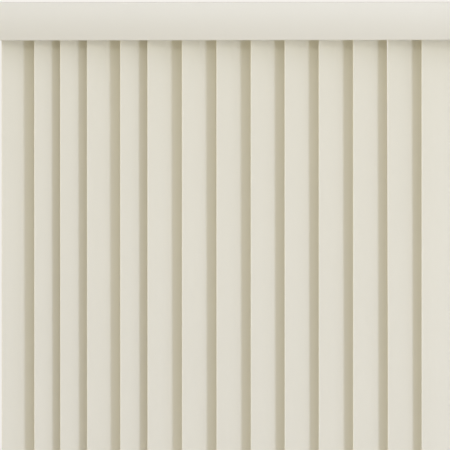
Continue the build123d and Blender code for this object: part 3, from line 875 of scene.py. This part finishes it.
for word in ("left", "right"):
    node = "end_cap_" + word
    cap = flat_copy(node)
    outer_x = max(abs(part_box(node)[0].x), abs(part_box(node)[1].x))
    rims = round_edges(cap, lambda e: all(abs(v.co.x) > outer_x - NEAR for v in e.verts), 0.9 * MM)
    dress(soften(cap, 0.25 * MM), node)
print(bends, "bends and", rims, "edges on a cap's rim rounded")

# %% [markdown]
# The wand hangs from a moulded fork. Its two ears are round at their ends, so that they can swing past the eye,
# and its socket is a round tube.

# %% The wand's hook
hook_low, hook_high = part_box("wand_hook")
EAR_DISTANCE = 4 * MM
SOCKET_LINE = 6.1 * MM


def off_axis(edge):
    """How far an edge's middle is from the wand's upright axis."""
    spot = middle(edge)
    return math.hypot(spot.x - wand_axis.x, spot.y - wand_axis.y)


hook = flat_copy("wand_hook")
ears = round_edges(hook, lambda e: runs(e, 0) and middle(e).z > wand_axis.z + MM and
                   math.hypot(middle(e).y - wand_axis.y, middle(e).z - wand_axis.z) > EAR_DISTANCE, 1.4 * MM)
sides = round_edges(hook, lambda e: runs(e, 2) and off_axis(e) > SOCKET_LINE and middle(e).z < wand_axis.z - 6 * MM,
                    1.2 * MM)
dress(soften(hook, 0.2 * MM), "wand_hook")
print(ears, "ear corners and", sides, "socket edges rounded")

# %% [markdown]
# Every vane has the same hanger: a pinion and stem in the carrier, and below the rail a fork that grips the vane.
# The real fork's two plates end in a half round and its shoulders are round too. One hanger is stood at the origin,
# finished there, and copied to the fourteen hangers' places.

# %% The hangers
hanger_nodes = [name.replace("vane", "hanger") for name in vane_names]
hanger_low, hanger_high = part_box(hanger_nodes[0])


def stand_of(name):
    """Where a vane's hanger stands, and how it is turned."""
    pivot = joints["tilt_" + name[-2:]]["pos_m"]
    return Matrix.Translation((pivot[0], pivot[1], 0)) @ Matrix.Rotation(VANE_TILT, 4, "Z")


FORK_HALF = 4 * MM
FORK_SHOULDER = vane_top + 5 * MM
hanger = flat_copy(hanger_nodes[0], stand_of(hanger_nodes[0]).inverted())
tips = round_edges(hanger, lambda e: runs(e, 1) and abs(middle(e).x) > FORK_HALF - NEAR and
                   middle(e).z < hanger_low.z + NEAR, 3.4 * MM)
shoulders = round_edges(hanger, lambda e: runs(e, 1) and abs(middle(e).x) > FORK_HALF - NEAR and
                        abs(middle(e).z - FORK_SHOULDER) < NEAR, 1.8 * MM)
soften(hanger, 0.12 * MM)
for name in hanger_nodes:
    dress(copy_of(hanger, name, stand_of(name)), name)
print(tips, "tips and", shoulders, "shoulders rounded,", len(hanger.data.polygons), "faces on each hanger")
bpy.data.objects.remove(hanger)

# %% [markdown]
# A carrier runs on two round wheels with a raised rim, and its spacer link is a strip with a round end. From below
# they show through the rail's slot. The wheels' many flats are rounded, and their outer faces are inset and sunk.

# %% The carriers
WHEEL_FACE = 19.8 * MM
WHEEL_RIM = 1.4 * MM
WHEEL_SINK = 0.5 * MM
LINK_LENGTH = 86 * MM


def fine_carrier(node, axis_x, link_end=LINK_LENGTH):
    """A carrier at the origin, with round wheels and a round link."""
    piece = flat_copy(node, Matrix.Translation((-axis_x, -wand_axis.y, 0)))
    inner = WHEEL_FACE - 3.3 * MM
    edit(piece)
    wheels = pick(piece, "faces", lambda f: abs(middle(f).y) > WHEEL_FACE - NEAR)
    bpy.ops.mesh.inset(thickness=WHEEL_RIM, depth=-WHEEL_SINK, use_individual=True)
    done()
    round_edges(piece, lambda e: runs(e, 1) and abs(middle(e).y) > inner + NEAR and e.calc_length() > 3 * MM, MM)
    round_edges(piece, lambda e: runs(e, 2) and middle(e).x < -link_end + NEAR, 2.6 * MM)
    return soften(piece, 0.15 * MM), wheels


first_axis = joints["tilt_01"]["pos_m"][0]
plain, wheels = fine_carrier("carrier_01", first_axis)
dress(copy_of(plain, "carrier_01", Matrix.Translation((first_axis, wand_axis.y, 0))), "carrier_01")
bpy.data.objects.remove(plain)
linked, wheels = fine_carrier("carrier_02", joints["tilt_02"]["pos_m"][0])
for name in vane_names[1:]:
    axis_x = joints[name.replace("vane", "tilt")]["pos_m"][0]
    node = name.replace("vane", "carrier")
    dress(copy_of(linked, node, Matrix.Translation((axis_x, wand_axis.y, 0))), node)
print(wheels, "wheel faces,", len(linked.data.polygons), "faces on each linked carrier")
bpy.data.objects.remove(linked)

# %% [markdown]
# The leading carrier is longer, runs on four such wheels and ends in a shorter link. The gears inside it, the eye
# under the rail and the grooved rod are small and sharp, so a very fine bevel is enough for them.

# %% The leading carrier, the gears and the rod
LEADING_LINK_END = 80 * MM

leading, wheels = fine_carrier("wand_carrier", wand_axis.x, LEADING_LINK_END)
dress(copy_of(leading, "wand_carrier", Matrix.Translation((wand_axis.x, wand_axis.y, 0))), "wand_carrier")
bpy.data.objects.remove(leading)
for node in ("wand_spindle", "rod_gear", "tilt_rod"):
    part = dress(soften(flat_copy(node), 0.08 * MM), node)
    print(node, len(part.data.polygons), "faces")
print(wheels, "wheel faces on the leading carrier")
